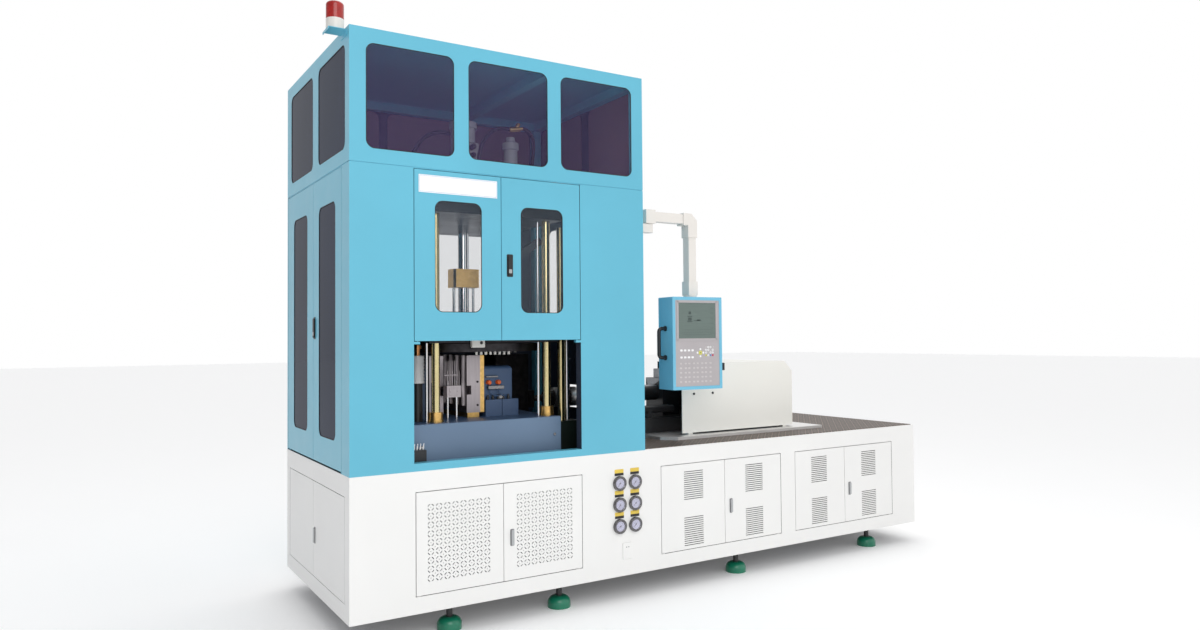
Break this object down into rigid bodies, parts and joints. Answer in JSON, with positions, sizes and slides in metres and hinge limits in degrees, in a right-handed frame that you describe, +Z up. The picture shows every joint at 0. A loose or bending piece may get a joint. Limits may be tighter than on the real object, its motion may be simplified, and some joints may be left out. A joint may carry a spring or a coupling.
{
  "type": "blow moulding machine",
  "caption": "Vertical injection blow moulding press: windowed steel column with rotary table and moulds, injection unit on a long base cabinet, swing-arm control panel.",
  "frame": {"origin": "middle of the machine's footprint, on the floor under its levelling feet", "axes": "+X along the front from the press column towards the injection side, +Y from front to back, +Z up"},
  "size_m": [4.67, 1.47, 3.489],
  "materials": {
    "blue_paint": "semi-gloss powder coat",
    "white_paint": "semi-gloss powder coat",
    "smoked_pane": "smoked acrylic",
    "clear_pane": "clear acrylic",
    "frame_paint": "dark paint",
    "tread_plate": "dark tread plate",
    "green_paint": "gloss enamel",
    "bed_paint": "semi-gloss paint",
    "polished_steel": "ground and polished",
    "dark_steel": "blackened steel",
    "tool_steel": "ground steel",
    "bezel": "satin metal",
    "pipe_paint": "light grey paint",
    "face_plate": "satin membrane",
    "black_plastic": "fine texture",
    "off_white_plastic": "gloss",
    "red_lens": "ribbed lens"
  },
  "bodies": {
    "machine": {"arm_bracket": "blue_paint", "back_panel": "blue_paint", "base_cabinet": "white_paint", "base_frame": "frame_paint", "beacon_base": "off_white_plastic", "beacon_lens": "red_lens", "beacon_shelf": "blue_paint", "clamp_units": "bed_paint", "column_frame": "blue_paint", "corner_panel": "blue_paint", "deck_plates": "tread_plate", "fixed_windows": "smoked_pane", "front_panel": "blue_paint", "gauges": "bezel", "guide_columns": "polished_steel", "injection_bed": "tool_steel", "injection_cover": "white_paint", "injection_mould": "tool_steel", "levelling_feet": "green_paint", "lift_cylinder": "dark_steel", "oil_tank": "frame_paint", "press_bed": "bed_paint", "pump_unit": "dark_steel", "side_panel": "blue_paint", "tie_bars": "polished_steel", "top_platen": "dark_steel", "upper_cabinet": "blue_paint"},
    "front_door_left": {"front_door_left": "blue_paint", "front_pane_left": "clear_pane"},
    "front_door_right": {"front_door_right": "blue_paint", "front_pane_right": "clear_pane"},
    "side_door_back": {"side_door_back": "blue_paint", "side_pane_back": "smoked_pane"},
    "side_door_front": {"side_door_front": "blue_paint", "side_pane_front": "smoked_pane"},
    "base_side_door_back": {"base_side_door_back": "white_paint"},
    "base_side_door_front": {"base_side_door_front": "white_paint"},
    "vent_door_left": {"vent_door_left": "white_paint"},
    "vent_door_right": {"vent_door_right": "white_paint"},
    "louvre_door_1": {"louvre_door_1": "white_paint"},
    "louvre_door_2": {"louvre_door_2": "white_paint"},
    "louvre_door_3": {"louvre_door_3": "white_paint"},
    "louvre_door_4": {"louvre_door_4": "white_paint"},
    "front_lock": {"front_lock": "bezel"},
    "side_lock": {"side_lock": "bezel"},
    "base_side_lock": {"base_side_lock": "bezel"},
    "vent_lock": {"vent_lock": "bezel"},
    "louvre_lock_1": {"louvre_lock_1": "bezel"},
    "louvre_lock_2": {"louvre_lock_2": "bezel"},
    "control_arm": {"control_arm": "pipe_paint"},
    "control_panel": {"panel_case": "blue_paint", "panel_face": "face_plate", "panel_handle": "black_plastic"},
    "selector_knob": {"selector_knob": "black_plastic"},
    "moving_platen": {"moving_platen": "dark_steel"},
    "rotary_table": {"rotary_table": "dark_steel"},
    "blow_mould_left": {"blow_mould_left": "tool_steel"},
    "blow_mould_right": {"blow_mould_right": "tool_steel"},
    "take_out_comb": {"take_out_comb": "tool_steel"},
    "injection_unit": {"injection_unit": "dark_steel"}
  },
  "joints": [
    {"name": "front_door_left_hinge", "type": "hinge", "parent": "machine", "child": "front_door_left", "pos_m": [-1.854, -0.706, 2.1], "axis": [0, 0, 1], "range_deg": [-110, 0]},
    {"name": "front_door_right_hinge", "type": "hinge", "parent": "machine", "child": "front_door_right", "pos_m": [-0.827, -0.706, 2.1], "axis": [0, 0, 1], "range_deg": [0, 110]},
    {"name": "side_door_back_hinge", "type": "hinge", "parent": "machine", "child": "side_door_back", "pos_m": [-2.226, 0.686, 1.7], "axis": [0, 0, 1], "range_deg": [-110, 0]},
    {"name": "side_door_front_hinge", "type": "hinge", "parent": "machine", "child": "side_door_front", "pos_m": [-2.226, -0.546, 1.7], "axis": [0, 0, 1], "range_deg": [0, 110]},
    {"name": "base_side_door_back_hinge", "type": "hinge", "parent": "machine", "child": "base_side_door_back", "pos_m": [-2.226, 0.631, 0.52], "axis": [0, 0, 1], "range_deg": [-110, 0]},
    {"name": "base_side_door_front_hinge", "type": "hinge", "parent": "machine", "child": "base_side_door_front", "pos_m": [-2.226, -0.601, 0.52], "axis": [0, 0, 1], "range_deg": [0, 110]},
    {"name": "vent_door_left_hinge", "type": "hinge", "parent": "machine", "child": "vent_door_left", "pos_m": [-1.847, -0.706, 0.52], "axis": [0, 0, 1], "range_deg": [-90, 0]},
    {"name": "vent_door_right_hinge", "type": "hinge", "parent": "machine", "child": "vent_door_right", "pos_m": [-0.824, -0.706, 0.52], "axis": [0, 0, 1], "range_deg": [0, 90]},
    {"name": "louvre_door_1_hinge", "type": "hinge", "parent": "machine", "child": "louvre_door_1", "pos_m": [-0.178, -0.706, 0.52], "axis": [0, 0, 1], "range_deg": [-90, 0]},
    {"name": "louvre_door_2_hinge", "type": "hinge", "parent": "machine", "child": "louvre_door_2", "pos_m": [0.843, -0.706, 0.52], "axis": [0, 0, 1], "range_deg": [0, 90]},
    {"name": "louvre_door_3_hinge", "type": "hinge", "parent": "machine", "child": "louvre_door_3", "pos_m": [1.03, -0.706, 0.52], "axis": [0, 0, 1], "range_deg": [-90, 0]},
    {"name": "louvre_door_4_hinge", "type": "hinge", "parent": "machine", "child": "louvre_door_4", "pos_m": [2.043, -0.706, 0.52], "axis": [0, 0, 1], "range_deg": [0, 90]},
    {"name": "front_lock_turn", "type": "hinge", "parent": "front_door_right", "child": "front_lock", "pos_m": [-1.288, -0.715, 2.121], "axis": [0, 1, 0], "range_deg": [0, 90]},
    {"name": "side_lock_turn", "type": "hinge", "parent": "side_door_front", "child": "side_lock", "pos_m": [-2.235, 0.011, 1.763], "axis": [1, 0, 0], "range_deg": [0, 90]},
    {"name": "base_side_lock_turn", "type": "hinge", "parent": "base_side_door_front", "child": "base_side_lock", "pos_m": [-2.235, 0.004, 0.519], "axis": [1, 0, 0], "range_deg": [0, 90]},
    {"name": "vent_lock_turn", "type": "hinge", "parent": "vent_door_right", "child": "vent_lock", "pos_m": [-1.282, -0.715, 0.519], "axis": [0, 1, 0], "range_deg": [0, 90]},
    {"name": "louvre_lock_1_turn", "type": "hinge", "parent": "louvre_door_2", "child": "louvre_lock_1", "pos_m": [0.395, -0.715, 0.519], "axis": [0, 1, 0], "range_deg": [0, 90]},
    {"name": "louvre_lock_2_turn", "type": "hinge", "parent": "louvre_door_4", "child": "louvre_lock_2", "pos_m": [1.58, -0.715, 0.519], "axis": [0, 1, 0], "range_deg": [0, 90]},
    {"name": "control_arm_swing", "type": "hinge", "parent": "machine", "child": "control_arm", "pos_m": [-0.225, -0.627, 2.38], "axis": [0, 0, 1], "range_deg": [-90, 0]},
    {"name": "control_panel_turn", "type": "hinge", "parent": "control_arm", "child": "control_panel", "pos_m": [0.125, -0.627, 1.95], "axis": [0, 0, 1], "range_deg": [-85, 85]},
    {"name": "selector_knob_turn", "type": "hinge", "parent": "control_panel", "child": "selector_knob", "pos_m": [0.32127, -0.6932, 1.448], "axis": [0.9974, -0.0715, 0], "range_deg": [-45, 45]},
    {"name": "moving_platen_lift", "type": "slide", "parent": "machine", "child": "moving_platen", "axis": [0, 0, 1], "range_m": [0, 0.15]},
    {"name": "rotary_table_index", "type": "hinge", "parent": "moving_platen", "child": "rotary_table", "pos_m": [-1.2825, -0.015, 1.65], "axis": [0, 0, 1], "continuous": true},
    {"name": "mould_left_close", "type": "slide", "parent": "machine", "child": "blow_mould_left", "axis": [1, 0, 0], "range_m": [0, 0.077]},
    {"name": "mould_right_close", "type": "slide", "parent": "machine", "child": "blow_mould_right", "axis": [1, 0, 0], "range_m": [-0.077, 0]},
    {"name": "take_out_comb_lift", "type": "slide", "parent": "machine", "child": "take_out_comb", "axis": [0, 0, 1], "range_m": [-0.08, 0]},
    {"name": "injection_unit_travel", "type": "slide", "parent": "machine", "child": "injection_unit", "axis": [1, 0, 0], "range_m": [-0.012, 0.2]}
  ],
  "couplings": [
    {"joint": "mould_right_close", "follows": "mould_left_close", "ratio": -1}
  ]
}
